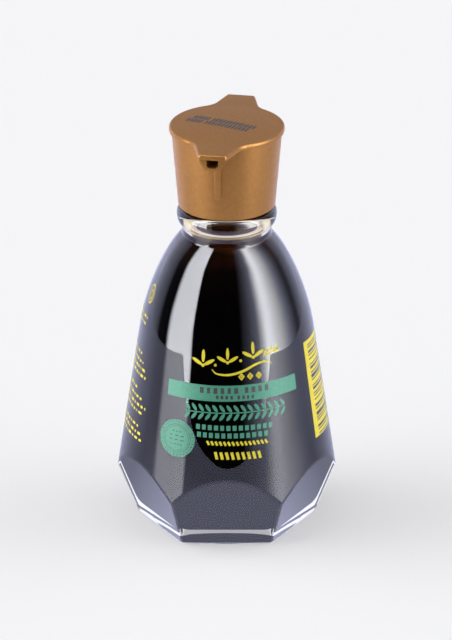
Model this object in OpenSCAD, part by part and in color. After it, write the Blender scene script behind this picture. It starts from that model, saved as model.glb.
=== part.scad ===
// Table bottle of soy sauce: a round glass flask cut to a hexagon at its foot, filled with sauce,
// under a plastic cap with two opposite pouring beaks.
// Millimetres. The origin is the centre of the foot on the surface that it stands on, +Z is up,
// and one facet of the foot faces -Y.

/* [Body of the bottle] */
// Radius of the round body at the corners of the foot, its widest place
body_r = 33.1; // [27.5:0.1:40]
// Height at which the corners of the foot are widest
widest_z = 15.3; // [12:0.1:19]
// Radius of the body where the straight flank turns into the shoulder
shoulder_r = 26.2; // [25:0.1:32]
// Height of that place
shoulder_z = 61.5; // [50:0.1:75]
// Radius of the long curve of the shoulder
shoulder_curve = 73.3; // [70:0.1:90]
// Height of the long curve, from its start to where it tightens towards the neck
shoulder_h = 24.8; // [20:0.1:26]
// Radius of the tighter curve under the neck
tight_curve = 29.6; // [24:0.1:40]

/* [Foot] */
// Number of facets around the foot
facets = 6; // [5:1:8]
// Distance from the axis to a facet, at the surface it stands on
facet_foot = 23.2; // [20:0.1:27]
// Outward lean of a facet, in degrees
facet_lean = 19.2; // [14:0.1:24]
// Width of the chamfer under the lower edge of a facet
heel = 0.8; // [0.4:0.1:1.5]
// Outward lean of that chamfer, in degrees
heel_lean = 55; // [45:1:65]
// Radius of the shallow dish under the bottle
dish_r = 18; // [10:0.5:19]
// Depth of that dish
dish_depth = 1.0; // [0.5:0.1:2]

/* [Glass] */
// Thickness of the wall of the body
wall = 3.3; // [2:0.1:4.5]
// Thickness of the glass under the sauce
base_thickness = 5.0; // [3:0.1:8]
// Thickness of the wall of the neck, from the bore to the finish
neck_wall = 2.2; // [1.8:0.1:3]

/* [Neck] */
// Radius of the finish of the neck, the part inside the cap
finish_r = 12.4; // [10.3:0.1:14.9]
// Length of the finish above the bead
finish_h = 18; // [15:0.5:21.6]
// Step from the finish out to the groove between the shoulder and the bead
groove_step = 0.95; // [0.5:0.05:1.5]
// Length of the groove
groove_h = 2.6; // [2:0.1:4]
// Step from the finish out to the largest radius of the bead under the cap
bead_step = 2.55; // [2.1:0.05:3.5]
// Radius of the round of the bead
bead_round = 4.7; // [4:0.1:6]
// Distance from the middle of the bead up to its flat top
bead_rise = 2.55; // [2:0.05:3]

/* [Sauce] */
// Distance from the top of the neck down to the sauce
headspace = 27.4; // [24:0.1:60]
// Clearance between the sauce and the glass
fill_gap = 0.05; // [0.02:0.01:0.1]

/* [Cap] */
// Height of the lower rim of the cap above the top of the bead
rim_gap = 0.5; // [0.3:0.1:1.5]
// Radial clearance between the finish of the neck and the cap
socket_gap = 0.25; // [0.1:0.05:0.5]
// Thickness of the skirt at its lower rim
skirt_wall = 1.85; // [1.5:0.05:3]
// Growth of the skirt's outer radius from its rim up to the plate
skirt_flare = 1.95; // [0.5:0.05:3]
// Height of the chamber between the neck and the plate
chamber_h = 5.8; // [4.8:0.1:8]
// Width of the ledge by which the cap rests on the neck, from the socket in to the chamber
ledge = 4.15; // [3:0.05:5]
// Overhang of the round plate on top past the skirt
plate_overhang = 0.7; // [0.2:0.1:1.5]
// Thickness of the plate and of its two lips
plate_t = 1.6; // [1.2:0.1:2.4]
// Margin between the edge of the plate and the crown, its gently domed middle
crown_margin = 1.15; // [1:0.05:4]
// Rise of the crown above the plate
crown_rise = 0.5; // [0.2:0.1:1.5]

/* [Beaks] */
// Number of beaks, evenly spaced
beaks = 2; // [1:1:3]
// Turn of the front beak from -Y, in degrees
beak_turn = -10; // [-45:1:45]
// Length of a lip past the round plate
lip_length = 7.9; // [5:0.05:10]
// Width of a lip at its front
lip_w = 8.3; // [7:0.1:10]
// Lean of the sides of a lip from its own direction, in degrees
lip_taper = 17; // [10:1:22]
// Radius of the hollow curve between a lip and the round plate
flare_r = 6; // [4:0.5:8]
// Height of a beak under its lip, at the front
beak_h = 3.4; // [3.1:0.1:5]
// Height of a beak under its lip, at the skirt
beak_root_h = 5.4; // [4.5:0.1:7]
// Width of a beak at its bottom
beak_bottom_w = 5.0; // [4.6:0.1:6]
// Distance by which the face of a beak lies behind the front of its lip
beak_setback = 0.3; // [0.1:0.1:1]
// Width of the pouring hole
hole_w = 3.5; // [2.5:0.1:3.8]
// Height of the pouring hole
hole_h = 2.5; // [2:0.1:2.8]
// Radius of the lower corners of the pouring hole
hole_round = 1.0; // [0.5:0.1:1.2]
// Width of the rib under a beak
rib_w = 1.9; // [1:0.1:3]
// Height of the lower end of the rib above the rim of the cap
rib_from_rim = 7.2; // [4:0.1:12]
// Distance by which the rib stands proud of the skirt
rib_proud = 0.5; // [0.3:0.1:1]

/* [Hidden] */
$fn = 96;
arc_steps = 14;                  // straight steps that stand for one arc of a turned outline
over = 0.01;                     // overshoot of a cut past the face that it opens
reach = 3 * body_r;              // long enough to pass right through the bottle

// The two arcs of the shoulder are tangent to the flank and to each other.
groove_r = finish_r + groove_step;
bore_r = finish_r - neck_wall;
flank_lean = atan((body_r - shoulder_r) / (shoulder_z - widest_z));
shoulder_c = [shoulder_r - shoulder_curve * cos(flank_lean),
              shoulder_z - shoulder_curve * sin(flank_lean)];
tight_lean = asin((shoulder_z + shoulder_h - shoulder_c[1]) / shoulder_curve);
tight_c = shoulder_c + (shoulder_curve - tight_curve) * [cos(tight_lean), sin(tight_lean)];
groove_z = tight_c[1] + tight_curve * sin(angle_at(tight_c, tight_curve, groove_r));

// The round of the bead starts at the top of the groove and ends at the flat top of the bead.
bead_r = finish_r + bead_step;
bead_low = -acos((groove_r - bead_r + bead_round) / bead_round);
bead_high = asin(bead_rise / bead_round);
bead_c = [bead_r - bead_round, groove_z + groove_h - bead_round * sin(bead_low)];
bead_top = bead_c[1] + bead_rise;
finish_top = bead_top + finish_h;

sauce_level = finish_top - headspace;

rim_z = bead_top + rim_gap;
socket_r = finish_r + socket_gap;
rim_r = socket_r + skirt_wall;
skirt_top = finish_top + chamber_h;
skirt_top_r = rim_r + skirt_flare;
chamber_r = socket_r - ledge;
plate_r = skirt_top_r + plate_overhang;
plate_top = skirt_top + plate_t;
crown_r = plate_r - crown_margin;
crown_curve = (pow(crown_r, 2) + pow(crown_rise, 2)) / (2 * crown_rise);
lip_reach = plate_r + lip_length;
hole_top = skirt_top - over;
skirt_lean = skirt_flare / (skirt_top - rim_z);

// Points of an arc about c, from angle a to angle b, measured from the outward direction
function arc(c, r, a, b, steps = arc_steps) =
    [for (i = [0:steps]) c + r * [cos(a + (b - a) * i / steps), sin(a + (b - a) * i / steps)]];

// Angle at which an arc about c reaches the radius r
function angle_at(c, curve, r) = acos((r - c[0]) / curve);

// Turned outline of the flank and shoulder from height z0 up to the radius r,
// moved inwards by inset
function flask_outline(z0, r, inset) = concat(
    [[body_r - (z0 - widest_z) * tan(flank_lean) - inset / cos(flank_lean), z0]],
    arc(shoulder_c, shoulder_curve - inset, flank_lean, tight_lean),
    arc(tight_c, tight_curve - inset, tight_lean, angle_at(tight_c, tight_curve - inset, r)));

// Outer radius of the skirt of the cap at height z
function skirt_r(z) = rim_r + (z - rim_z) * skirt_lean;

// What lies outside the planes that stand around the axis, one over each side of the foot,
// at the distance foot_r at the height 0 and leaning outwards by lean
module around_foot(foot_r, lean) {
    for (i = [0:facets - 1])
        rotate([0, 0, i * 360 / facets])
            translate([0, -foot_r, 0])
                rotate([lean, 0, 0])
                    translate([-reach / 2, -reach, -reach / 2])
                        cube(reach);
}

// Hollow inside the glass, moved inwards by inset, up to the height top
module hollow(inset, top) {
    difference() {
        rotate_extrude()
            polygon(concat(
                [[0, base_thickness + inset]],
                flask_outline(base_thickness + inset, bore_r - inset, wall + inset),
                [[bore_r - inset, top], [0, top]]));
        around_foot(facet_foot - (wall + inset) / cos(facet_lean), facet_lean);
    }
}

// Shallow dish that keeps the middle of the bottle off the table
module foot_dish() {
    dish_curve = (pow(dish_r, 2) + pow(dish_depth, 2)) / (2 * dish_depth);
    translate([0, 0, dish_depth - dish_curve])
        intersection() {
            sphere(r = dish_curve, $fn = 360);
            translate([-dish_r, -dish_r, dish_curve - 2 * dish_depth])
                cube([2 * dish_r, 2 * dish_r, 3 * dish_depth]);
        }
}

module glass_bottle() {
    color("lightsteelblue", 0.4)
        difference() {
            rotate_extrude()
                polygon(concat(
                    [[0, 0]],
                    flask_outline(0, groove_r, 0),
                    arc(bead_c, bead_round, bead_low, bead_high),
                    [[finish_r, bead_top], [finish_r, finish_top], [0, finish_top]]));
            around_foot(facet_foot, facet_lean);
            around_foot(facet_foot - heel, heel_lean);
            hollow(0, finish_top + over);
            foot_dish();
        }
}

module soy_sauce() {
    color([0.10, 0.04, 0.02])
        intersection() {
            hollow(fill_gap, finish_top);
            cylinder(r = reach, h = sauce_level);
        }
}

// Outline of one half of a lip, with its hollow flare into the round plate
module lip_half() {
    lip_end = [lip_w / 2, lip_reach];
    along = [sin(lip_taper), -cos(lip_taper)];
    outward = [cos(lip_taper), sin(lip_taper)];
    start = lip_end + flare_r * outward;
    slope = start * along;
    run = -slope - sqrt(pow(slope, 2) - start * start + pow(plate_r + flare_r, 2));
    flare_c = start + run * along;
    difference() {
        polygon([[0, 0], flare_c, lip_end + run * along, lip_end, [0, lip_reach]]);
        translate(flare_c) circle(r = flare_r);
    }
}

// Places its children once for each beak, with their own +Y pointing out along the beak
module at_beaks() {
    for (i = [0:beaks - 1])
        rotate([0, 0, 180 + beak_turn + i * 360 / beaks])
            children();
}

// Stands a drawing of [across, up] upright, facing out along +Y, from y0 to y1
module facing(y0, y1) {
    translate([0, y1, 0])
        rotate([90, 0, 0])
            linear_extrude(height = y1 - y0)
                children();
}

// Stands a drawing of [outward, up] upright in the plane of a beak, as thick as width
module along_beak(width) {
    translate([-width / 2, 0, 0])
        rotate([90, 0, 90])
            linear_extrude(height = width)
                children();
}

module cap_plate() {
    translate([0, 0, skirt_top])
        linear_extrude(height = plate_t) {
            circle(r = plate_r);
            at_beaks() {
                lip_half();
                mirror([1, 0]) lip_half();
            }
        }
    translate([0, 0, plate_top + crown_rise - crown_curve])
        intersection() {
            sphere(r = crown_curve, $fn = 360);
            translate([0, 0, crown_curve - crown_rise])
                cylinder(r = crown_r, h = 2 * plate_t);
        }
}

// Wedge under a lip: as wide as the lip at its top, narrow at its bottom, running into the skirt
module beak_body() {
    face = lip_reach - beak_setback;
    root = chamber_r + (rim_r - chamber_r) / 2;
    intersection() {
        facing(0, lip_reach)
            polygon([[-lip_w / 2, skirt_top + over], [lip_w / 2, skirt_top + over],
                     [beak_bottom_w / 2, skirt_top - beak_h],
                     [beak_bottom_w / 2, skirt_top - 2 * beak_root_h],
                     [-beak_bottom_w / 2, skirt_top - 2 * beak_root_h],
                     [-beak_bottom_w / 2, skirt_top - beak_h]]);
        along_beak(2 * lip_w)
            polygon([[root, skirt_top + over], [face, skirt_top + over], [face, skirt_top - beak_h],
                     [skirt_r(skirt_top - beak_root_h), skirt_top - beak_root_h],
                     [root, skirt_top - beak_root_h]]);
    }
}

// Pouring hole, flat at its top and rounded at its lower corners, from the chamber to the open
module pouring_hole() {
    facing(0, lip_reach + over)
        translate([0, hole_top - hole_h]) {
            translate([-hole_w / 2, hole_round])
                square([hole_w, hole_h - hole_round]);
            translate([hole_round - hole_w / 2, 0])
                square([hole_w - 2 * hole_round, hole_h]);
            for (side = [-1, 1])
                translate([side * (hole_w / 2 - hole_round), hole_round])
                    circle(r = hole_round);
        }
}

module rib() {
    low = rim_z + rib_from_rim;
    high = skirt_top - beak_root_h + over;
    root = socket_r + skirt_wall / 2;
    along_beak(rib_w)
        polygon([[root, low], [skirt_r(low) + rib_proud, low], [skirt_r(high) + rib_proud, high],
                 [skirt_r(high), high + rib_proud], [root, high + rib_proud]]);
}

module pourer_cap() {
    color([0.66, 0.46, 0.25])
        difference() {
            union() {
                translate([0, 0, rim_z])
                    cylinder(r1 = rim_r, r2 = skirt_top_r, h = skirt_top - rim_z + over);
                cap_plate();
                at_beaks() {
                    beak_body();
                    rib();
                }
            }
            translate([0, 0, rim_z - over])
                cylinder(r = socket_r, h = finish_top - rim_z + over);
            cylinder(r = chamber_r, h = hole_top);
            at_beaks() pouring_hole();
        }
}

glass_bottle();
soy_sauce();
pourer_cap();
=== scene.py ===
# Looks of a table flask of soy sauce: clear glass, dark sauce, a gold cap with two beaks and a screen
# print of plain fields and shapes. Sizes are in millimetres and turned into metres where they are used.
import math

import bpy
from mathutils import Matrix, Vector

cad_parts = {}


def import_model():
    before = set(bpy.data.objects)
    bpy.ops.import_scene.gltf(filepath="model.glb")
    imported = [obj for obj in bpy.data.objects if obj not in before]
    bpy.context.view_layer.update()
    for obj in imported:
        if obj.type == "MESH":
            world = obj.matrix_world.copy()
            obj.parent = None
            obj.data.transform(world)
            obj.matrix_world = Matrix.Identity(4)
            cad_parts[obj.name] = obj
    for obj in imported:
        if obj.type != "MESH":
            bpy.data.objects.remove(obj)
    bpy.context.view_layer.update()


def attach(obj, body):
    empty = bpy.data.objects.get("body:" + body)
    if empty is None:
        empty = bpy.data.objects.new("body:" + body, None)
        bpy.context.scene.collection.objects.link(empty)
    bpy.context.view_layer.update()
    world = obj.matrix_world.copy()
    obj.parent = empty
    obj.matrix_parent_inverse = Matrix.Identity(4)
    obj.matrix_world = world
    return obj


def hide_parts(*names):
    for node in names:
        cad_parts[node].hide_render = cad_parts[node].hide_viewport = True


MM = 0.001

# Body of the flask
BODY_R = 33.1
WIDEST_Z = 15.3
SHOULDER_R = 26.2
SHOULDER_Z = 61.5
SHOULDER_CURVE = 73.3
SHOULDER_H = 24.8
TIGHT_CURVE = 29.6
FACETS = 6
FACET_FOOT = 23.2
FACET_LEAN = math.radians(19.2)
HEEL = 0.8
DISH_R = 18.0
DISH_DEPTH = 1.0
ARRIS_ROUND = 0.7
WALL = 3.3
BASE_THICKNESS = 5.0
INNER_ROUND = 2.2
SAUCE_INTO_WALL = 0.15

# Neck
FINISH_R = 12.4
FINISH_H = 18.0
NECK_WALL = 2.2
GROOVE_R = FINISH_R + 0.95
GROOVE_H = 2.6
BEAD_R = FINISH_R + 2.55
BEAD_ROUND = 4.7
BEAD_RISE = 2.55
BEAD_EDGE = 2.0
BORE_R = FINISH_R - NECK_WALL
HEADSPACE = 27.4

# Cap
RIM_GAP = 0.5
SOCKET_R = FINISH_R + 0.25
RIM_R = SOCKET_R + 1.85
SKIRT_TOP_R = RIM_R + 1.95
CHAMBER_H = 5.8
CHAMBER_R = SOCKET_R - 4.15
PLATE_R = SKIRT_TOP_R + 0.7
PLATE_T = 1.6
PLATE_ROUND = 0.65
CROWN_R = PLATE_R - 1.15
CROWN_RISE = 0.5
LIP_REACH = PLATE_R + 7.9
LIP_W = 8.3
LIP_TAPER = math.radians(17)
LIP_CORNER = 0.9
FLARE_R = 6.0
BEAK_TURN = math.radians(-10)
BEAK_H = 3.4
BEAK_ROOT_H = 5.4
BEAK_BOTTOM_W = 5.0
BEAK_SETBACK = 0.3
HOLE_W = 3.5
HOLE_H = 2.5
HOLE_ROUND = 1.0
RIB_W = 1.9
RIB_FROM_RIM = 7.2
RIB_PROUD = 0.65

SPIN_STEPS = 192

# Print. A bar as short as NO_BAR doesn't show: in a row it stands for a wider gap.
INK_LIFT = 0.03
INK_THICKNESS = 0.015
PRINT_Z = 48.0
NO_BAR = 0.01
SEAL_AZIMUTH = -29.9
SEAL_Z = 36.4
MARK_TURN = -27
MARK_X = -1.4
MARK_Y = 0.1

# The two arcs of the shoulder are tangent to the flank and to each other.
FLANK_LEAN = math.atan((BODY_R - SHOULDER_R) / (SHOULDER_Z - WIDEST_Z))
SHOULDER_C = (
    SHOULDER_R - SHOULDER_CURVE * math.cos(FLANK_LEAN),
    SHOULDER_Z - SHOULDER_CURVE * math.sin(FLANK_LEAN),
)
TIGHT_Z = SHOULDER_Z + SHOULDER_H
TIGHT_LEAN = math.asin((TIGHT_Z - SHOULDER_C[1]) / SHOULDER_CURVE)
TIGHT_C = (
    SHOULDER_C[0] + (SHOULDER_CURVE - TIGHT_CURVE) * math.cos(TIGHT_LEAN),
    SHOULDER_C[1] + (SHOULDER_CURVE - TIGHT_CURVE) * math.sin(TIGHT_LEAN),
)
GROOVE_Z = TIGHT_C[1] + math.sqrt(TIGHT_CURVE**2 - (GROOVE_R - TIGHT_C[0]) ** 2)
BEAD_LOW = -math.acos((GROOVE_R - BEAD_R + BEAD_ROUND) / BEAD_ROUND)
BEAD_HIGH = math.asin((BEAD_RISE - BEAD_EDGE) / (BEAD_ROUND - BEAD_EDGE))
BEAD_C = (BEAD_R - BEAD_ROUND, GROOVE_Z + GROOVE_H - BEAD_ROUND * math.sin(BEAD_LOW))
BEAD_TOP = BEAD_C[1] + BEAD_RISE
FINISH_TOP = BEAD_TOP + FINISH_H
SAUCE_LEVEL = FINISH_TOP - HEADSPACE
RIM_Z = BEAD_TOP + RIM_GAP
SKIRT_TOP = FINISH_TOP + CHAMBER_H
PLATE_TOP = SKIRT_TOP + PLATE_T
SKIRT_LEAN = (SKIRT_TOP_R - RIM_R) / (SKIRT_TOP - RIM_Z)


# ---------------------------------------------------------------- modelling


def leave_edit():
    if bpy.context.mode != "OBJECT":
        bpy.ops.object.mode_set(mode="OBJECT")


def begin(name):
    """A new piece that is one point at the origin, open in edit mode."""
    leave_edit()
    bpy.ops.object.select_all(action="DESELECT")
    bpy.ops.mesh.primitive_plane_add(size=MM, location=(0, 0, 0))
    piece = bpy.context.object
    piece.name = name
    piece.data.name = name
    bpy.ops.object.mode_set(mode="EDIT")
    bpy.ops.mesh.select_mode(type="VERT")
    bpy.ops.mesh.select_all(action="SELECT")
    bpy.ops.mesh.merge(type="CENTER")
    return piece


def trace(points):
    """Moves the selected point to the first of the points and extrudes it through the others."""
    place = Vector((0, 0, 0))
    for i, point in enumerate(points):
        step = Vector(point) * MM - place
        if i == 0:
            bpy.ops.transform.translate(value=step)
        else:
            bpy.ops.mesh.extrude_region_move(TRANSFORM_OT_translate={"value": step})
        place += step


def merge_and_face_out():
    bpy.ops.mesh.select_all(action="SELECT")
    bpy.ops.mesh.remove_doubles(threshold=2e-6)
    bpy.ops.mesh.normals_make_consistent(inside=False)


def turned(name, outline, steps=SPIN_STEPS):
    """A turned piece. The outline is radius and height from the axis round to the axis again."""
    piece = begin(name)
    trace([(r, 0, z) for r, z in outline])
    bpy.ops.mesh.select_all(action="SELECT")
    bpy.ops.mesh.spin(
        steps=steps, angle=2 * math.pi, center=(0, 0, 0), axis=(0, 0, 1)
    )
    merge_and_face_out()
    leave_edit()
    return piece


def select_faces(piece, test):
    bpy.ops.mesh.select_mode(type="FACE")
    bpy.ops.mesh.select_all(action="DESELECT")
    leave_edit()
    for face in piece.data.polygons:
        face.select = test(face)
    bpy.ops.object.mode_set(mode="EDIT")


def select_edges(piece, test):
    bpy.ops.mesh.select_mode(type="EDGE")
    bpy.ops.mesh.select_all(action="DESELECT")
    leave_edit()
    points = piece.data.vertices
    for edge in piece.data.edges:
        edge.select = test(*(points[i].co / MM for i in edge.vertices))
    bpy.ops.object.mode_set(mode="EDIT")


def work_on(piece):
    leave_edit()
    bpy.ops.object.select_all(action="DESELECT")
    piece.select_set(True)
    bpy.context.view_layer.objects.active = piece


def edit(piece):
    work_on(piece)
    bpy.ops.object.mode_set(mode="EDIT")


def modify(piece, kind, **settings):
    work_on(piece)
    modifier = piece.modifiers.new(kind.title(), kind)
    for key, value in settings.items():
        setattr(modifier, key, value)
    bpy.ops.object.modifier_apply(modifier=modifier.name)


def combine(piece, other, operation):
    modify(piece, "BOOLEAN", object=other, operation=operation, solver="EXACT")
    bpy.data.objects.remove(other)


def arc(centre, radius, start, end, steps):
    return [
        (
            centre[0] + radius * math.cos(start + (end - start) * i / steps),
            centre[1] + radius * math.sin(start + (end - start) * i / steps),
        )
        for i in range(steps + 1)
    ]


def smooth(piece, angle=40):
    work_on(piece)
    bpy.ops.object.shade_smooth_by_angle(angle=math.radians(angle))


def soften_normals(piece):
    """Smooth shading in which wide faces stay flat and the small faces of a round turn between them."""
    work_on(piece)
    bpy.ops.object.shade_smooth()
    modify(piece, "WEIGHTED_NORMAL", weight=80, keep_sharp=False)


# ---------------------------------------------------------------- flask and sauce


def flask_outline(z0, r, inset, steps):
    """Flank and shoulder from the height z0 up to the radius r, moved inwards by inset."""
    tight = TIGHT_CURVE - inset
    end = math.acos((r - TIGHT_C[0]) / tight)
    flank_r = BODY_R - (z0 - WIDEST_Z) * math.tan(FLANK_LEAN)
    return (
        [(flank_r - inset / math.cos(FLANK_LEAN), z0)]
        + arc(SHOULDER_C, SHOULDER_CURVE - inset, FLANK_LEAN, TIGHT_LEAN, steps)
        + arc(TIGHT_C, tight, TIGHT_LEAN, end, steps)
    )


def cut_facets(piece, inset):
    """Six leaning planes take the sides of the foot away and close them with flat faces."""
    edit(piece)
    for i in range(FACETS):
        turn = math.radians(-90 + 360 * i / FACETS)
        outward = Vector((math.cos(turn), math.sin(turn), 0))
        normal = outward * math.cos(FACET_LEAN) - Vector((0, 0, math.sin(FACET_LEAN)))
        point = outward * (FACET_FOOT - inset / math.cos(FACET_LEAN)) * MM
        bpy.ops.mesh.select_all(action="SELECT")
        bpy.ops.mesh.bisect(
            plane_co=point,
            plane_no=normal,
            use_fill=True,
            clear_outer=True,
            threshold=1e-7,
        )
    merge_and_face_out()
    leave_edit()


def round_arrises(piece, width, segments):
    """Rounds the edges of the facets, which lie low and far out on the flask."""
    highest, innermost = 45, 15
    edit(piece)
    bpy.ops.mesh.select_mode(type="EDGE")
    bpy.ops.mesh.select_all(action="DESELECT")
    bpy.ops.mesh.edges_select_sharp(sharpness=math.radians(24))
    leave_edit()
    points = piece.data.vertices
    for edge in piece.data.edges:
        ends = [points[i].co / MM for i in edge.vertices]
        low = max(p.z for p in ends) < highest
        far_out = min(p.xy.length for p in ends) > innermost
        edge.select = edge.select and low and far_out
    bpy.ops.object.mode_set(mode="EDIT")
    bpy.ops.mesh.bevel(
        offset=width * MM, segments=segments, affect="EDGES", clamp_overlap=False
    )
    leave_edit()


def hollow(name, inset, top, rounding):
    """The space inside the glass, as a solid, moved inwards by inset."""
    floor = BASE_THICKNESS + inset - WALL
    bore = BORE_R + WALL - inset
    piece = turned(
        name,
        [(0, floor)] + flask_outline(floor, bore, inset, 10) + [(bore, top), (0, top)],
        96,
    )
    cut_facets(piece, inset)
    round_arrises(piece, rounding, 4)
    edit(piece)
    merge_and_face_out()
    leave_edit()
    return piece


def glass_flask():
    dish_curve = (DISH_R**2 + DISH_DEPTH**2) / (2 * DISH_DEPTH)
    dish = arc(
        (0, DISH_DEPTH - dish_curve),
        dish_curve,
        math.pi / 2,
        math.acos(DISH_R / dish_curve),
        8,
    )
    rim = 0.6
    bead_edge = (
        BEAD_C[0] + (BEAD_ROUND - BEAD_EDGE) * math.cos(BEAD_HIGH),
        BEAD_TOP - BEAD_EDGE,
    )
    flask = turned(
        "flask",
        dish
        + flask_outline(0, GROOVE_R, 0, 16)
        + arc(BEAD_C, BEAD_ROUND, BEAD_LOW, BEAD_HIGH, 14)
        + arc(bead_edge, BEAD_EDGE, BEAD_HIGH, math.pi / 2, 8)[1:]
        + [(FINISH_R + 0.2, BEAD_TOP), (FINISH_R, BEAD_TOP + 0.2)]
        + arc((FINISH_R - rim, FINISH_TOP - rim), rim, 0, math.pi / 2, 4)
        + [(0, FINISH_TOP)],
    )
    cut_facets(flask, 0)
    edit(flask)
    outside_dish = DISH_R + 3
    select_edges(
        flask,
        lambda a, b: max(a.z, b.z) < 0.001
        and min(a.xy.length, b.xy.length) > outside_dish,
    )
    bpy.ops.mesh.bevel(offset=HEEL * MM, segments=5, affect="EDGES", clamp_overlap=False)
    round_arrises(flask, ARRIS_ROUND, 3)
    combine(flask, hollow("flask_hollow", WALL, FINISH_TOP + 1, INNER_ROUND), "DIFFERENCE")
    edit(flask)
    merge_and_face_out()
    soften_normals(flask)
    return flask


def sauce_fill():
    """The sauce reaches just into the wall, so that no film of air shows between it and the glass."""
    sauce = hollow("sauce", WALL - SAUCE_INTO_WALL, SAUCE_LEVEL, INNER_ROUND)
    edit(sauce)
    select_faces(
        sauce,
        lambda f: f.normal.z > 0.99 and f.center.z > (SAUCE_LEVEL - 0.05) * MM,
    )
    # The level stands a little higher along the glass.
    for inwards, down in ((0.5, 0.25), (0.8, 0.1)):
        bpy.ops.mesh.inset(thickness=inwards * MM)
        bpy.ops.transform.translate(value=(0, 0, -down * MM))
    leave_edit()
    soften_normals(sauce)
    return sauce


# ---------------------------------------------------------------- cap


def lip_side():
    """Right side of a lip, from the middle of its front edge back round the flare onto the plate."""
    end = Vector((LIP_W / 2, LIP_REACH))
    along = Vector((math.sin(LIP_TAPER), -math.cos(LIP_TAPER)))
    outward = Vector((math.cos(LIP_TAPER), math.sin(LIP_TAPER)))
    start = end + FLARE_R * outward
    slope = start.dot(along)
    run = -slope - math.sqrt(slope**2 - start.dot(start) + (PLATE_R + FLARE_R) ** 2)
    flare = start + run * along
    inward = LIP_CORNER * (1 - math.sin(LIP_TAPER)) / math.cos(LIP_TAPER)
    centre = end - Vector((inward, LIP_CORNER))
    front = arc(centre, LIP_CORNER, math.pi / 2, LIP_TAPER, 5)
    leave = math.pi + LIP_TAPER
    to_plate = math.atan2(-flare.y, -flare.x) % (2 * math.pi)
    flare_arc = arc(flare, FLARE_R, leave, to_plate, 10)
    return front, flare_arc


def plate_outline():
    """The round plate with its two lips, anticlockwise, before it is turned to the beaks' places."""
    front, flare_arc = lip_side()
    right = front + flare_arc
    first = math.atan2(flare_arc[-1][1], flare_arc[-1][0])
    side = arc((0, 0), PLATE_R, first, -first, 60)
    lower = [(x, -y) for x, y in reversed(right)]
    half = right + side[1:-1] + lower
    return half + [(-x, -y) for x, y in half]


def turned_to_beak(x, y):
    c, s = math.cos(BEAK_TURN), math.sin(BEAK_TURN)
    return x * c - y * s, x * s + y * c


def cap_plate():
    plate = begin("plate")
    outline = [(*turned_to_beak(x, y), SKIRT_TOP) for x, y in plate_outline()]
    trace(outline + outline[:1])
    bpy.ops.mesh.select_all(action="SELECT")
    bpy.ops.mesh.remove_doubles(threshold=2e-6)
    bpy.ops.mesh.edge_face_add()
    bpy.ops.mesh.extrude_region_move(TRANSFORM_OT_translate={"value": (0, 0, PLATE_T * MM)})
    merge_and_face_out()
    top = PLATE_TOP - 0.001
    select_edges(plate, lambda a, b: a.z > top and b.z > top)
    bpy.ops.mesh.bevel(
        offset=PLATE_ROUND * MM, segments=6, affect="EDGES", clamp_overlap=False
    )
    select_edges(
        plate, lambda a, b: a.z < SKIRT_TOP + 0.001 and b.z < SKIRT_TOP + 0.001
    )
    bpy.ops.mesh.bevel(offset=0.25 * MM, segments=2, affect="EDGES", clamp_overlap=False)
    leave_edit()
    return plate


def cap_crown():
    curve = (CROWN_R**2 + CROWN_RISE**2) / (2 * CROWN_RISE)
    dome = arc(
        (0, PLATE_TOP + CROWN_RISE - curve),
        curve,
        math.acos(CROWN_R / curve),
        math.pi / 2,
        12,
    )
    return turned("crown", [(0, PLATE_TOP - 0.5), (CROWN_R, PLATE_TOP - 0.5)] + dome, 128)


def cap_skirt():
    edge = 0.35
    return turned(
        "pouring_cap",
        [
            (0, SKIRT_TOP - 0.01),
            (CHAMBER_R, SKIRT_TOP - 0.01),
            (CHAMBER_R, FINISH_TOP),
            (SOCKET_R, FINISH_TOP),
            (SOCKET_R, RIM_Z + edge),
        ]
        + arc((SOCKET_R + edge, RIM_Z + edge), edge, math.pi, 1.5 * math.pi, 4)
        + arc((RIM_R - edge, RIM_Z + edge), edge, -0.5 * math.pi, 0, 4)
        + [
            (SKIRT_TOP_R, SKIRT_TOP),
            (SKIRT_TOP_R, SKIRT_TOP + 0.4),
            (0, SKIRT_TOP + 0.4),
        ],
    )


def block(name, low, high):
    """A box between two corners, open in edit mode."""
    leave_edit()
    bpy.ops.object.select_all(action="DESELECT")
    low, high = Vector(low) * MM, Vector(high) * MM
    bpy.ops.mesh.primitive_cube_add(size=1, location=(0, 0, 0))
    piece = bpy.context.object
    piece.name = name
    piece.data.name = name
    bpy.ops.object.mode_set(mode="EDIT")
    bpy.ops.transform.resize(value=high - low)
    bpy.ops.transform.translate(value=(high + low) / 2)
    return piece


def slice_off(point, normal):
    bpy.ops.mesh.select_all(action="SELECT")
    bpy.ops.mesh.bisect(
        plane_co=Vector(point) * MM,
        plane_no=normal,
        use_fill=True,
        clear_outer=True,
        threshold=1e-7,
    )


def round_all(width, segments=3):
    merge_and_face_out()
    bpy.ops.mesh.bevel(
        offset=width * MM, segments=segments, affect="EDGES", clamp_overlap=True
    )


def turn_to(i):
    """Turns the open piece, made towards -Y, to the place of beak i."""
    bpy.ops.mesh.select_all(action="SELECT")
    angle = BEAK_TURN + i * math.pi
    # With no window the operator turns the other way.
    bpy.ops.transform.rotate(
        value=-angle, orient_axis="Z", center_override=(0, 0, 0)
    )
    leave_edit()


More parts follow.
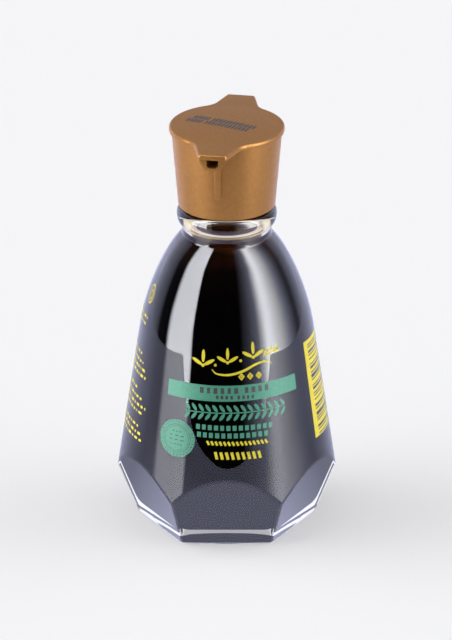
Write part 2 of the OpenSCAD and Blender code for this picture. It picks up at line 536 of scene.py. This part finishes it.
def beak_body(i):
    """Wedge under a lip: wide at its top, narrow at its bottom, running into the skirt."""
    face = LIP_REACH - BEAK_SETBACK
    root = (CHAMBER_R + RIM_R) / 2
    beak = block(
        f"beak_{i}",
        (-LIP_W / 2, -face, SKIRT_TOP - BEAK_ROOT_H),
        (LIP_W / 2, -root, SKIRT_TOP + 0.3),
    )
    flank = (LIP_W - BEAK_BOTTOM_W) / 2
    for side in (-1, 1):
        slice_off(
            (side * LIP_W / 2, 0, SKIRT_TOP),
            Vector((side * BEAK_H, 0, -flank)).normalized(),
        )
    skirt_r = RIM_R + (SKIRT_TOP - BEAK_ROOT_H - RIM_Z) * SKIRT_LEAN
    run = face - skirt_r
    drop = BEAK_ROOT_H - BEAK_H
    slice_off(
        (0, -face, SKIRT_TOP - BEAK_H), Vector((0, -drop, -run)).normalized()
    )
    round_all(0.35)
    turn_to(i)
    return beak


def pouring_hole(i):
    top = SKIRT_TOP - 0.01
    hole = block(
        f"hole_{i}",
        (-HOLE_W / 2, -LIP_REACH - 1, top - HOLE_H),
        (HOLE_W / 2, -CHAMBER_R + 2, top),
    )
    low = top - HOLE_H + 0.001
    select_edges(
        hole, lambda a, b: a.z < low and b.z < low and abs(a.x - b.x) < 0.001
    )
    bpy.ops.mesh.bevel(offset=HOLE_ROUND * MM, segments=5, affect="EDGES")
    turn_to(i)
    return hole


def cap_rib(i):
    low = RIM_Z + RIB_FROM_RIM
    high = SKIRT_TOP - BEAK_ROOT_H + 0.6
    low_r = RIM_R + (low - RIM_Z) * SKIRT_LEAN + RIB_PROUD
    rib = block(
        f"rib_{i}",
        (-RIB_W / 2, -SKIRT_TOP_R - 1, low),
        (RIB_W / 2, -(SOCKET_R + RIM_R) / 2, high),
    )
    slice_off((0, -low_r, low), Vector((0, -1, -SKIRT_LEAN)).normalized())
    round_all(0.28, 4)
    turn_to(i)
    return rib


def pouring_cap():
    cap = cap_skirt()
    combine(cap, cap_plate(), "UNION")
    combine(cap, cap_crown(), "UNION")
    for i in range(2):
        combine(cap, beak_body(i), "UNION")
        combine(cap, cap_rib(i), "UNION")
    for i in range(2):
        combine(cap, pouring_hole(i), "DIFFERENCE")
    edit(cap)
    bpy.ops.mesh.select_all(action="SELECT")
    bpy.ops.mesh.remove_doubles(threshold=1e-6)
    smooth(cap, 30)
    return cap


# ---------------------------------------------------------------- screen print


def body_radius(z):
    """Radius of the outside of the flask at height z, above the facets."""
    if z < SHOULDER_Z:
        return BODY_R - (z - WIDEST_Z) * math.tan(FLANK_LEAN)
    if z < TIGHT_Z:
        return SHOULDER_C[0] + math.sqrt(SHOULDER_CURVE**2 - (z - SHOULDER_C[1]) ** 2)
    return TIGHT_C[0] + math.sqrt(TIGHT_CURVE**2 - (z - TIGHT_C[1]) ** 2)


def sheet_of_ink(name):
    """An empty flat sheet, open in edit mode. Marks are drawn in it as across and up."""
    piece = begin(name)
    bpy.ops.mesh.delete(type="VERT")
    return piece


def place_mark(centre, slant):
    """Turns the mark that was just drawn at the origin, and moves it to its place."""
    if slant:
        bpy.ops.transform.rotate(
            value=math.radians(slant), orient_axis="Y", center_override=(0, 0, 0)
        )
    bpy.ops.transform.translate(value=(centre[0] * MM, 0, centre[1] * MM))
    bpy.ops.mesh.select_all(action="DESELECT")


def bar(centre, width, height, slant=0, cuts=0):
    """A plain bar. A wide one is subdivided, so that it can follow the glass."""
    bpy.ops.mesh.primitive_plane_add(size=1, rotation=(math.pi / 2, 0, 0))
    bpy.ops.transform.resize(value=(width * MM, 1, height * MM))
    if cuts:
        bpy.ops.mesh.subdivide(number_cuts=cuts)
    place_mark(centre, slant)


def disc(centre, width, height, slant=0, steps=16, cuts=0):
    """A filled oval: a dot, a seal or, if it is narrow, a leaf."""
    bpy.ops.mesh.primitive_circle_add(
        vertices=steps, radius=0.5, fill_type="TRIFAN", rotation=(math.pi / 2, 0, 0)
    )
    bpy.ops.transform.resize(value=(width * MM, 1, height * MM))
    if cuts:
        bpy.ops.mesh.subdivide(number_cuts=cuts)
    place_mark(centre, slant)


def ring(centre, radius, thickness, squash=1.0, slant=0, steps=32):
    bpy.ops.mesh.primitive_circle_add(
        vertices=steps, radius=radius * MM, fill_type="TRIFAN", rotation=(math.pi / 2, 0, 0)
    )
    bpy.ops.mesh.inset(thickness=thickness * MM)
    bpy.ops.mesh.delete(type="FACE")
    # What is left of the disc is the newest closed band; it is picked up again by its place.
    sheet = bpy.context.edit_object
    sheet.update_from_editmode()
    leave_edit()
    oldest = len(sheet.data.vertices) - 2 * steps
    for v in sheet.data.vertices:
        v.select = v.co.length < radius * 1.01 * MM and v.index >= oldest
    bpy.ops.object.mode_set(mode="EDIT")
    bpy.ops.transform.resize(value=(squash, 1, 1), center_override=(0, 0, 0))
    place_mark(centre, slant)


def curl(points, start_w, middle_w, end_w, steps=6):
    """A pen stroke along a smooth line through the points, thick in its middle."""
    line = []
    count = len(points)
    for i in range(count - 1):
        p = [Vector(points[min(max(i + k, 0), count - 1)]) for k in (-1, 0, 1, 2)]
        for j in range(steps):
            t = j / steps
            line.append(
                0.5
                * (
                    2 * p[1]
                    + (p[2] - p[0]) * t
                    + (2 * p[0] - 5 * p[1] + 4 * p[2] - p[3]) * t**2
                    + (3 * p[1] - p[0] - 3 * p[2] + p[3]) * t**3
                )
            )
    line.append(Vector(points[-1]))
    last = len(line) - 1
    sides = []
    for i, here in enumerate(line):
        ahead = line[min(i + 1, last)] - line[max(i - 1, 0)]
        across = Vector((-ahead.y, ahead.x)).normalized()
        share = i / last
        edge = start_w + (end_w - start_w) * share
        half = (edge + (middle_w - edge) * math.sin(math.pi * share)) / 2
        sides.append((here - across * half, here + across * half))
    # The first edge of the stroke is extruded from one pair of sides to the next.
    bpy.ops.mesh.primitive_plane_add(size=1, rotation=(math.pi / 2, 0, 0))
    bpy.ops.transform.resize(value=(MM, 1, MM))
    sheet = bpy.context.edit_object
    leave_edit()
    corners = [v for v in sheet.data.vertices if v.select]
    corners.sort(key=lambda v: (round(v.co.z, 5), v.co.x))
    for v, p in zip(corners, (sides[0][0], sides[0][1], sides[1][0], sides[1][1])):
        v.co = Vector((p.x * MM, 0, p.y * MM))
    far = [corners[2].index, corners[3].index]
    for i in range(2, last + 1):
        for part in (*sheet.data.edges, *sheet.data.polygons):
            part.select = False
        for v in sheet.data.vertices:
            v.select = v.index in far
        bpy.ops.object.mode_set(mode="EDIT")
        bpy.ops.mesh.select_mode(type="VERT")
        bpy.ops.mesh.select_mode(type="EDGE")
        bpy.ops.mesh.extrude_region_move(TRANSFORM_OT_translate={"value": (0, 0, 0)})
        leave_edit()
        fresh = [v for v in sheet.data.vertices if v.select]
        left = sides[i - 1][0] * MM
        fresh.sort(key=lambda v: (Vector((v.co.x, v.co.z)) - left).length)
        fresh[0].co = Vector((sides[i][0].x * MM, 0, sides[i][0].y * MM))
        fresh[1].co = Vector((sides[i][1].x * MM, 0, sides[i][1].y * MM))
        far = [fresh[0].index, fresh[1].index]
    bpy.ops.object.mode_set(mode="EDIT")
    bpy.ops.mesh.select_mode(type="VERT")
    bpy.ops.mesh.select_all(action="DESELECT")


def dashes(start, end, lengths, height, slant=0):
    """A row of short bars from one point to another. The lengths share the room with equal gaps."""
    start, end = Vector(start), Vector(end)
    room = (end - start).length
    along = (end - start).normalized()
    gap = (room - sum(lengths)) / (len(lengths) - 1)
    place = 0.0
    tilt = -math.degrees(math.atan2(along.y, along.x))
    for length in lengths:
        bar(start + along * (place + length / 2), length, height, slant + tilt)
        place += length + gap


def wrap_on_glass(piece, lift=INK_LIFT):
    """Lays a drawn sheet round the flask. Across is arc length at the middle of the print."""
    leave_edit()
    middle_r = body_radius(PRINT_Z)
    for v in piece.data.vertices:
        z = v.co.z / MM
        a = v.co.x / MM / middle_r
        r = body_radius(z) + lift
        v.co = Vector((r * math.sin(a), -r * math.cos(a), z)) * MM
    piece.data.update()
    face_ink(piece, lambda f: f.normal.dot(Vector((f.center.x, f.center.y, 0))) < 0)
    return piece


def face_ink(piece, wrong):
    """Turns the faces that point inwards, and gives the ink its thickness."""
    edit(piece)
    select_faces(piece, wrong)
    bpy.ops.mesh.flip_normals()
    modify(piece, "SOLIDIFY", thickness=INK_THICKNESS * MM, offset=1)


def at(azimuth):
    """Distance across the sheet of a place at an azimuth in degrees from the front."""
    return math.radians(azimuth) * body_radius(PRINT_Z)


def leaf_fan(x, z, size, turns):
    """A fan of slim leaves that grow from one point."""
    for turn in turns:
        reach = size * (0.62 - 0.0022 * abs(turn))
        lean = math.radians(turn)
        disc(
            (x + reach * math.sin(lean), z + reach * math.cos(lean)),
            0.24 * size,
            0.84 * size,
            -turn,
            14,
        )
    disc((x, z), 0.22 * size, 0.22 * size, 0, 14)


def yellow_front():
    sheet = sheet_of_ink("print_yellow_front")
    for azimuth, z, size in ((-15.5, 59.9, 4.6), (0.5, 61.0, 4.3), (17.5, 62.2, 4.5)):
        leaf_fan(at(azimuth), z, size, (-62, 0, 62))
    for azimuth, z in ((-7.4, 60.2), (9.0, 61.5)):
        disc((at(azimuth), z), 0.9, 0.9, 0, 10)
    for azimuth, z in ((26.2, 62.6), (30.0, 62.9), (33.6, 63.0)):
        disc((at(azimuth), z + 0.6), 0.75, 2.9, -30, 12)
        disc((at(azimuth) + 1.0, z + 0.1), 0.55, 1.8, -62, 12)
    curl(
        [
            (at(-9.6), 58.9),
            (at(-6.5), 57.6),
            (at(1.5), 57.3),
            (at(10.5), 58.3),
            (at(19.0), 60.0),
            (at(26.5), 60.5),
            (at(30.4), 59.3),
        ],
        0.15,
        0.75,
        0.15,
    )
    for azimuth in (9.3, 14.9, 20.6):
        ring((at(azimuth), 56.6), 1.15, 0.42, 0.9, 0, 4)
        disc((at(azimuth), 56.6), 0.55, 0.55, 0, 8)
    dashes((at(-11.4), 36.35), (at(23.6), 36.15), [0.62] * 15, 1.35, 25)
    dashes((at(-6.8), 32.6), (at(19.4), 32.4), [0.8] * 9, 2.3, 12)
    return wrap_on_glass(sheet)


def yellow_left():
    """A field of fine print on the left side: rows of dashes under a plain loop."""
    sheet = sheet_of_ink("print_yellow_left")
    ring((at(-75.5), 74.5), 2.9, 0.42, 0.85, 12)
    ring((at(-75.5), 74.3), 1.5, 0.35, 0.8, 12, 20)
    rows = (
        (67.6, -70.5, 0.9),
        (65.6, -72.0, 0.9),
        (56.6, -70.0, 0.9),
        (54.2, -66.0, 0.9),
        (52.2, -62.5, 1.0),
        (50.2, -60.5, 1.0),
        (45.8, -70.0, 0.9),
        (43.4, -62.0, 0.9),
        (41.2, -56.5, 1.0),
        (39.2, -60.0, 0.9),
        (35.0, -62.0, 0.9),
        (33.0, -58.5, 1.0),
        (31.2, -57.0, 0.9),
    )
    for i, (z, right, height) in enumerate(rows):
        lengths = [(0.7, 1.5, 1.1, 0.5, 1.8)[(i + k) % 5] for k in range(16)]
        dashes((at(right - 66), z), (at(right), z), lengths, height * 0.8)
    return wrap_on_glass(sheet)


def bar_panel():
    """A plain panel of cross bars on the right side."""
    sheet = sheet_of_ink("print_bar_panel")
    left, right = at(60.3), at(85.0)
    low, high = 31.4, 61.6
    strip = 2.3
    bar((left + strip / 2, (low + high) / 2), strip, high - low, 0, 6)
    widths = (0.42, 0.86, 0.42, 1.3, 0.42, 0.42, 0.86, 0.42, 1.3, 0.86)
    gaps = (0.4, 0.4, 0.8, 0.4, 0.4, 1.1, 0.4, 0.8, 0.4)
    z = low
    i = 0
    while z < high - 0.2:
        height = min(widths[i % len(widths)], high - z)
        bar(((left + strip + right) / 2, z + height / 2), right - left - strip, height, 0, 4)
        z += height + gaps[i % len(gaps)]
        i += 1
    return wrap_on_glass(sheet)


def green_front():
    sheet = sheet_of_ink("print_green_front")
    left, right = at(-38.6), at(47.6)
    bar(((left + right) / 2, 51.6), right - left, 4.85, 0.5, 30)
    pairs = 15
    start, reach = at(-26.0), at(36.0) - at(-26.0)
    bar((start + reach / 2, 45.65), reach, 0.34, 0.4, 20)
    for k in range(pairs):
        x = start + 0.6 + (reach - 1.2) * k / (pairs - 1)
        disc((x + 0.35, 46.95), 1.0, 2.6, 35, 14)
        disc((x + 0.35, 44.35), 1.0, 2.6, -35, 14)
    first = [1.15, 1.1, 1.15, 1.2, 1.1, 1.2, 1.15, 1.2, 1.1, 1.2, 1.15, 1.2, 1.1]
    dashes((at(-18.2), 41.1), (at(27.4), 40.9), first, 1.55)
    dashes((at(-17.4), 38.75), (at(24.4), 38.6), first[:12], 1.55)
    disc((at(SEAL_AZIMUTH), SEAL_Z), 11.2, 11.4, 0, 48, 5)
    return wrap_on_glass(sheet)


def dark_front():
    """Marks over the green ink."""
    sheet = sheet_of_ink("print_dark_front")
    upper = [1.2, 1.0, 1.2, 1.1, 1.0, 1.2, NO_BAR, 1.1, 1.2, 1.1, 1.1]
    dashes((at(-16.8), 52.35), (at(26.4), 52.5), upper, 1.75)
    lower = [0.75, 0.75, 0.8, 0.75, NO_BAR, 0.8, 0.75, 0.7, 0.8]
    dashes((at(-6.6), 50.45), (at(16.8), 50.3), lower, 1.1)
    x, z = at(SEAL_AZIMUTH), SEAL_Z
    ring((x, z), 4.35, 0.14, 1.0, 0, 48)
    ring((x, z), 3.75, 0.09, 1.0, 0, 48)
    ticks, tick_r = 30, 5.05
    for k in range(ticks):
        turn = 2 * math.pi * k / ticks
        bar(
            (x + tick_r * math.cos(turn), z + tick_r * math.sin(turn)),
            0.7 if k % 3 else 0.4,
            0.22,
            -math.degrees(turn),
        )
    dashes((x - 2.3, z + 0.8), (x + 2.3, z + 0.8), [0.9, 0.9, 1.1], 0.28)
    dashes((x - 2.3, z - 0.5), (x + 2.3, z - 0.5), [0.9, 0.9, 1.1], 0.28)
    dashes((x - 1.7, z - 1.9), (x + 1.7, z - 1.9), [0.5, 0.6, 0.5, 0.5], 0.3)
    dashes((x - 1.4, z + 2.1), (x + 1.4, z + 2.1), [0.5, 0.5, 0.6], 0.3)
    return wrap_on_glass(sheet, INK_LIFT + 0.02)


def cap_marks():
    """Two rows of thin ink jet dashes across the crown."""
    sheet = sheet_of_ink("cap_jet_marks")
    short_part = [0.80, 0.60, 0.80, 0.80, 0.60]
    long_part = [0.60, 0.80, 0.80] * 4 + [0.80]
    for row, shift in ((1.4, 0.5), (-1.4, -0.6)):
        dashes((-10.3 + shift, row), (-5.4 + shift, row), short_part, 2.4, -4)
        dashes((-4.2 + shift, row), (9.8 + shift, row), long_part, 2.4, -4)
    leave_edit()
    curve = (CROWN_R**2 + CROWN_RISE**2) / (2 * CROWN_RISE)
    turn = math.radians(MARK_TURN)
    for v in sheet.data.vertices:
        x, y = v.co.x / MM, v.co.z / MM
        px = MARK_X + x * math.cos(turn) - y * math.sin(turn)
        py = MARK_Y + x * math.sin(turn) + y * math.cos(turn)
        z = PLATE_TOP + CROWN_RISE - curve + math.sqrt(curve**2 - px**2 - py**2)
        v.co = Vector((px, py, z + 0.012)) * MM
    sheet.data.update()
    face_ink(sheet, lambda f: f.normal.z < 0)
    return sheet


# ---------------------------------------------------------------- materials


def material(name, display):
    mat = bpy.data.materials.new(name)
    mat.use_nodes = True
    mat.diffuse_color = (*display, 1)
    nodes, links = mat.node_tree.nodes, mat.node_tree.links
    return mat, nodes, links, nodes["Principled BSDF"]


def feed(links, socket, value):
    """Gives a socket a constant, or what comes out of another node."""
    if isinstance(value, (int, float, tuple)):
        socket.default_value = value
    else:
        links.new(value, socket)


def shaded_point(nodes, links, kind):
    """The point that is being shaded: as one vector, and as the outputs X, Y and Z."""
    place = nodes.new("ShaderNodeTexCoord")
    parts = nodes.new("ShaderNodeSeparateXYZ")
    links.new(place.outputs[kind], parts.inputs["Vector"])
    return place.outputs[kind], parts.outputs


def calculate(nodes, links, operation, *values, clamp=False):
    """A calculation done by a node. Each value is a number or another node's output."""
    node = nodes.new("ShaderNodeMath")
    node.operation = operation
    node.use_clamp = clamp
    for socket, value in zip(node.inputs, values):
        feed(links, socket, value)
    return node.outputs["Value"]


def map_range(nodes, links, source, low, high, to_low=0.0, to_high=1.0):
    """Maps the source from one range to another and keeps it inside that."""
    node = nodes.new("ShaderNodeMapRange")
    node.inputs["From Min"].default_value = low
    node.inputs["From Max"].default_value = high
    feed(links, node.inputs["To Min"], to_low)
    feed(links, node.inputs["To Max"], to_high)
    links.new(source, node.inputs["Value"])
    return node.outputs["Result"]


def mix(nodes, links, factor, first, second):
    """The first shader where the factor is 0, the second where it is 1."""
    node = nodes.new("ShaderNodeMixShader")
    feed(links, node.inputs["Fac"], factor)
    links.new(first, node.inputs[1])
    links.new(second, node.inputs[2])
    return node.outputs["Shader"]


def glow(nodes, links, kind, colour, strength=1.0):
    """A light-giving shader, of the kind Emission or Background."""
    node = nodes.new("ShaderNode" + kind)
    feed(links, node.inputs["Color"], colour)
    feed(links, node.inputs["Strength"], strength)
    return node.outputs[kind]


def matt(nodes, colour):
    node = nodes.new("ShaderNodeBsdfDiffuse")
    node.inputs["Color"].default_value = colour
    return node.outputs["BSDF"]


def object_noise(nodes, links, scale, detail=3.0, stretch=(1, 1, 1)):
    """Noise on the piece's own coordinates. The scale counts features in a metre."""
    place = nodes.new("ShaderNodeTexCoord")
    mapping = nodes.new("ShaderNodeMapping")
    mapping.inputs["Scale"].default_value = stretch
    noise = nodes.new("ShaderNodeTexNoise")
    noise.inputs["Scale"].default_value = scale
    noise.inputs["Detail"].default_value = detail
    links.new(place.outputs["Object"], mapping.inputs["Vector"])
    links.new(mapping.outputs["Vector"], noise.inputs["Vector"])
    return noise.outputs["Fac"]


def add_bump(nodes, links, shader, source, strength, distance):
    bump = nodes.new("ShaderNodeBump")
    bump.inputs["Strength"].default_value = strength
    bump.inputs["Distance"].default_value = distance
    links.new(source, bump.inputs["Height"])
    links.new(bump.outputs["Normal"], shader.inputs["Normal"])


def ramp(nodes, links, source, stops):
    """A colour for each place along the source, from 0 to 1."""
    node = nodes.new("ShaderNodeValToRGB")
    elements = node.color_ramp.elements
    while len(elements) < len(stops):
        elements.new(0.5)
    for element, (place, colour) in zip(elements, stops):
        element.position = place
        element.color = (*colour, 1)
    links.new(source, node.inputs["Fac"])
    return node.outputs["Color"]


def flint_glass():
    mat, nodes, links, shader = material("clear_flint_glass", (0.85, 0.9, 0.92))
    # Painted light in the neck above the sauce: brown just over the level, a painted cream highlight
    # band, and painted shade from the cap that darkens it towards the top.
    _, parts = shaded_point(nodes, links, "Object")
    neck_light_low = (SAUCE_LEVEL - 2) * MM
    neck_light_high = (BEAD_TOP + 2) * MM
    painted_neck_light = ramp(
        nodes,
        links,
        map_range(nodes, links, parts["Z"], neck_light_low, neck_light_high),
        [
            (0.0, (0.97, 0.97, 0.98)),
            (0.16, (0.76, 0.64, 0.50)),
            (0.34, (0.86, 0.76, 0.60)),
            (0.44, (0.96, 0.88, 0.72)),
            (0.66, (0.94, 0.84, 0.66)),
            (0.76, (0.55, 0.45, 0.24)),
            (1.0, (0.34, 0.27, 0.12)),
        ],
    )
    links.new(painted_neck_light, shader.inputs["Base Color"])
    shader.inputs["Roughness"].default_value = 0.0
    shader.inputs["IOR"].default_value = 1.5
    shader.inputs["Transmission Weight"].default_value = 1.0
    waves = object_noise(nodes, links, 110, 1.0, (1, 1, 0.25))
    add_bump(nodes, links, shader, waves, 0.05, 0.001)
    return mat


def soy():
    mat, nodes, links, shader = material("dark_soy_sauce", (0.03, 0.012, 0.006))
    shader.inputs["Roughness"].default_value = 0.4
    shader.inputs["Specular IOR Level"].default_value = 0.0
    # Painted light: the sauce is painted nearly black low down and brown towards its level, where light
    # shines through it, along a cloudy line.
    cloudiness = 0.004
    level_light_low, level_light_high = 0.0795, 0.0945
    _, parts = shaded_point(nodes, links, "Object")
    cloud = object_noise(nodes, links, 160, 2.0)
    height = calculate(nodes, links, "MULTIPLY_ADD", cloud, cloudiness, parts["Z"])
    painted_level_light = ramp(
        nodes,
        links,
        map_range(nodes, links, height, level_light_low, level_light_high),
        [
            (0.0, (0.0016, 0.0005, 0.0003)),
            (0.45, (0.006, 0.002, 0.0008)),
            (0.8, (0.035, 0.011, 0.003)),
            (1.0, (0.22, 0.07, 0.012)),
        ],
    )
    links.new(painted_level_light, shader.inputs["Base Color"])
    return mat


def pearl_plastic():
    mat, nodes, links, shader = material("gold_copper_plastic", (0.6, 0.36, 0.16))
    pearl = object_noise(nodes, links, 900, 2.0)
    tones = [(0.3, (0.285, 0.132, 0.034)), (0.7, (0.330, 0.153, 0.040))]
    links.new(ramp(nodes, links, pearl, tones), shader.inputs["Base Color"])
    cloud = object_noise(nodes, links, 140, 3.0)
    rough = map_range(nodes, links, cloud, 0.0, 1.0, 0.30, 0.38)
    links.new(rough, shader.inputs["Roughness"])
    shader.inputs["Metallic"].default_value = 0.35
    shader.inputs["Specular IOR Level"].default_value = 0.12
    grain = object_noise(nodes, links, 2600, 2.0)
    add_bump(nodes, links, shader, grain, 0.12, 0.00005)
    return mat


def enamel(name, low, high, roughness):
    mat, nodes, links, shader = material(name, high)
    spots = object_noise(nodes, links, 1500, 3.0)
    tone = ramp(nodes, links, spots, [(0.35, low), (0.65, high)])
    links.new(tone, shader.inputs["Base Color"])
    shader.inputs["Roughness"].default_value = roughness
    add_bump(nodes, links, shader, spots, 0.15, 0.00003)
    return mat


def give(piece, mat):
    piece.data.materials.clear()
    piece.data.materials.append(mat)
    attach(piece, "root")


# ---------------------------------------------------------------- stage

# Lengths are in metres. A brightness of 1 is that of the pale wall.
PALE = (0.905, 0.905, 0.925, 1)
WHITE = (1.0, 1.0, 1.0, 1)

# The floor is a little overlit, and has a painted shadow under the foot; through glass the painted
# shadow reaches further.
FLOOR_FILL = 0.40
FOOT_SHADOW = (0.20, 0.20, 0.25, 1)
FOOT_SHADOW_R = (FACET_FOOT - 0.4) * MM
FOOT_SHADOW_SPREAD = 0.16

# A gloss shows the floor as a table that glows, most of all just before the bottle, and soon ends.
TABLE_TINT = (0.90, 0.93, 1.30, 1)
TABLE_GLOSS = 0.75
TABLE_FRONT = -0.235
TABLE_HALF_W = 0.39
GLOW_BEFORE = 1.85
GLOW_BEHIND = 0.62
GLOW_FAR = 0.95

# Light that falls on matt surfaces: a dome, and two soft lights of which the left one is brighter
DOME_LOW = 0.12
DOME_TOP = 1.1
SIDE_LIGHT = 7.5
SIDE_LEAN = -2.2
SEEN_THROUGH_MAX = 1.1

# The dim walls are cool, the lights are almost neutral.
COOL = (0.78, 0.82, 1.1)
NEUTRAL = (0.97, 0.98, 1.05)
DIM = 4

# Brightness of the room that a gloss shows, by azimuth from the front in degrees, left negative
ROOM = [
    (-180, 0.45),
    (-162, 0.9),
    (-142, 2.1),
    (-119, 1.3),
    (-108, 0.9),
    (-101, 0.06),
    (-86, 0.06),
    (-80, 13.0),
    (-48, 15.0),
    (-45, 0.02),
    (18, 0.02),
    (30, 0.9),
    (42, 2.6),
    (48, 8.0),
    (54, 16.0),
    (60, 17.0),
    (66, 13.5),
    (74, 9.5),
    (82, 5.8),
    (90, 3.2),
    (98, 1.4),
    (106, 0.5),
    (111, 0.3),
    (119, 0.9),
    (142, 1.8),
    (162, 0.9),
    (180, 0.45),
]


def lit_floor(nodes, links, away, through_glass):
    """The pale floor with a painted shadow under the foot."""
    fill = glow(nodes, links, "Emission", PALE)
    lit = mix(nodes, links, FLOOR_FILL, matt(nodes, PALE), fill)
    reach = calculate(
        nodes, links, "MULTIPLY_ADD", through_glass, FOOT_SHADOW_SPREAD, FOOT_SHADOW_R
    )
    # Painted shadow: the floor is painted dark under the foot, wider for rays seen through the glass.
    under = calculate(nodes, links, "LESS_THAN", away, reach)
    return mix(nodes, links, under, lit, matt(nodes, FOOT_SHADOW))


def mirrored_table(nodes, links, away, parts):
    """The floor as a gloss shows it: a glowing, lacquered table with edges."""
    fresnel = nodes.new("ShaderNodeFresnel")
    fresnel.inputs["IOR"].default_value = 1.49
    mirror = nodes.new("ShaderNodeBsdfGlossy")
    mirror.inputs["Roughness"].default_value = 0.05
    lacquer = calculate(
        nodes, links, "MULTIPLY", fresnel.outputs["Fac"], TABLE_GLOSS, clamp=True
    )
    links.new(lacquer, mirror.inputs["Color"])
    near = map_range(nodes, links, parts["Y"], -0.03, 0.01, GLOW_BEFORE, GLOW_BEHIND)
    fade = map_range(nodes, links, away, 0.05, 0.20, near, GLOW_FAR)
    sheen = nodes.new("ShaderNodeAddShader")
    links.new(glow(nodes, links, "Emission", TABLE_TINT, fade), sheen.inputs[0])
    links.new(mirror.outputs["BSDF"], sheen.inputs[1])
    front = calculate(nodes, links, "LESS_THAN", parts["Y"], TABLE_FRONT)
    wide = calculate(nodes, links, "ABSOLUTE", parts["X"])
    side = calculate(nodes, links, "GREATER_THAN", wide, TABLE_HALF_W)
    beyond = calculate(nodes, links, "MAXIMUM", front, side)
    clear = nodes.new("ShaderNodeBsdfTransparent")
    return mix(nodes, links, beyond, sheen.outputs["Shader"], clear.outputs["BSDF"])


def studio_floor():
    leave_edit()
    bpy.ops.object.select_all(action="DESELECT")
    bpy.ops.mesh.primitive_circle_add(
        vertices=96, radius=6.0, fill_type="NGON", location=(0, 0, -0.0001)
    )
    floor = bpy.context.object
    floor.name = "studio_floor"
    mat = bpy.data.materials.new("pale_floor")
    mat.use_nodes = True
    nodes, links = mat.node_tree.nodes, mat.node_tree.links
    nodes.clear()
    out = nodes.new("ShaderNodeOutputMaterial")
    ray = nodes.new("ShaderNodeLightPath").outputs
    place, parts = shaded_point(nodes, links, "Object")
    distance = nodes.new("ShaderNodeVectorMath")
    distance.operation = "LENGTH"
    links.new(place, distance.inputs[0])
    away = distance.outputs["Value"]
    pale = lit_floor(nodes, links, away, ray["Is Transmission Ray"])
    table = mirrored_table(nodes, links, away, parts)
    surface = mix(nodes, links, ray["Is Glossy Ray"], pale, table)
    links.new(surface, out.inputs["Surface"])
    floor.data.materials.append(mat)


def azimuth_bands(nodes, links, stops):
    """Brightness round the room. Azimuth runs from 0 at the back over the left and front to 1."""
    _, parts = shaded_point(nodes, links, "Generated")
    forward = calculate(nodes, links, "MULTIPLY", parts["Y"], -1.0)
    angle = calculate(nodes, links, "ARCTAN2", parts["X"], forward)
    turn = map_range(nodes, links, angle, -math.pi, math.pi)
    peak = max(v for _, v in stops)
    bands = []
    for azimuth, v in stops:
        tint = COOL if v < DIM else NEUTRAL
        bands.append(((azimuth + 180) / 360, tuple(v / peak * c for c in tint)))
    return ramp(nodes, links, turn, bands), peak


def light_on_matt(nodes, links):
    """Most of the light falls from above, the rest from the two sides."""
    _, parts = shaded_point(nodes, links, "Generated")
    up = calculate(nodes, links, "POWER", parts["Z"], 5.0, clamp=True)
    dome = calculate(nodes, links, "MULTIPLY_ADD", up, DOME_TOP, DOME_LOW)
    square = calculate(nodes, links, "MULTIPLY", parts["X"], parts["X"])
    lobe = calculate(nodes, links, "POWER", square, 3.0)
    lean = calculate(nodes, links, "MULTIPLY_ADD", parts["X"], SIDE_LEAN, SIDE_LIGHT)
    return calculate(nodes, links, "MULTIPLY_ADD", lobe, lean, dome)


def studio_light():
    world = bpy.data.worlds.new("studio")
    bpy.context.scene.world = world
    world.use_nodes = True
    nodes, links = world.node_tree.nodes, world.node_tree.links
    nodes.clear()
    out = nodes.new("ShaderNodeOutputWorld")
    ray = nodes.new("ShaderNodeLightPath").outputs
    bands, peak = azimuth_bands(nodes, links, ROOM)
    level = calculate(nodes, links, "MULTIPLY", bands, peak)
    through = calculate(nodes, links, "MINIMUM", level, SEEN_THROUGH_MAX)
    gloss = glow(nodes, links, "Background", bands, peak)
    soft = glow(nodes, links, "Background", WHITE, light_on_matt(nodes, links))
    seen = glow(nodes, links, "Background", WHITE, through)
    wall = glow(nodes, links, "Background", PALE)
    light = mix(nodes, links, ray["Is Glossy Ray"], soft, gloss)
    light = mix(nodes, links, ray["Is Transmission Ray"], light, seen)
    light = mix(nodes, links, ray["Is Camera Ray"], light, wall)
    links.new(light, out.inputs["Surface"])
    world.cycles.sampling_method = "NONE"


def camera():
    elevation = math.radians(23.5)
    distance = 1.8
    target = Vector((-0.00024, 0, 0.0634))
    back = Vector((0, -math.cos(elevation), math.sin(elevation)))
    data = bpy.data.cameras.new("camera")
    eye = bpy.data.objects.new("camera", data)
    bpy.context.scene.collection.objects.link(eye)
    data.sensor_width = 36
    data.lens = 337.5
    data.clip_start = 0.05
    data.clip_end = 50
    eye.location = target + back * distance
    eye.rotation_euler = (-back).to_track_quat("-Z", "Y").to_euler()
    bpy.context.scene.camera = eye


# ---------------------------------------------------------------- assembly


def main():
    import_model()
    flask = glass_flask()
    give(flask, flint_glass())
    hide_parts("glass_bottle")
    sauce = sauce_fill()
    give(sauce, soy())
    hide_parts("soy_sauce")
    cap = pouring_cap()
    give(cap, pearl_plastic())
    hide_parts("pourer_cap")
    green = enamel("green_enamel", (0.038, 0.205, 0.125), (0.050, 0.245, 0.150), 0.45)
    yellow = enamel("yellow_enamel", (0.62, 0.52, 0.012), (0.76, 0.64, 0.02), 0.45)
    dark = enamel("dark_ink", (0.010, 0.012, 0.010), (0.03, 0.03, 0.03), 0.5)
    give(green_front(), green)
    for piece in (yellow_front(), yellow_left(), bar_panel()):
        give(piece, yellow)
    for piece in (dark_front(), cap_marks()):
        give(piece, dark)
    studio_floor()
    studio_light()
    camera()
    bpy.context.scene.view_settings.view_transform = "Standard"


main()
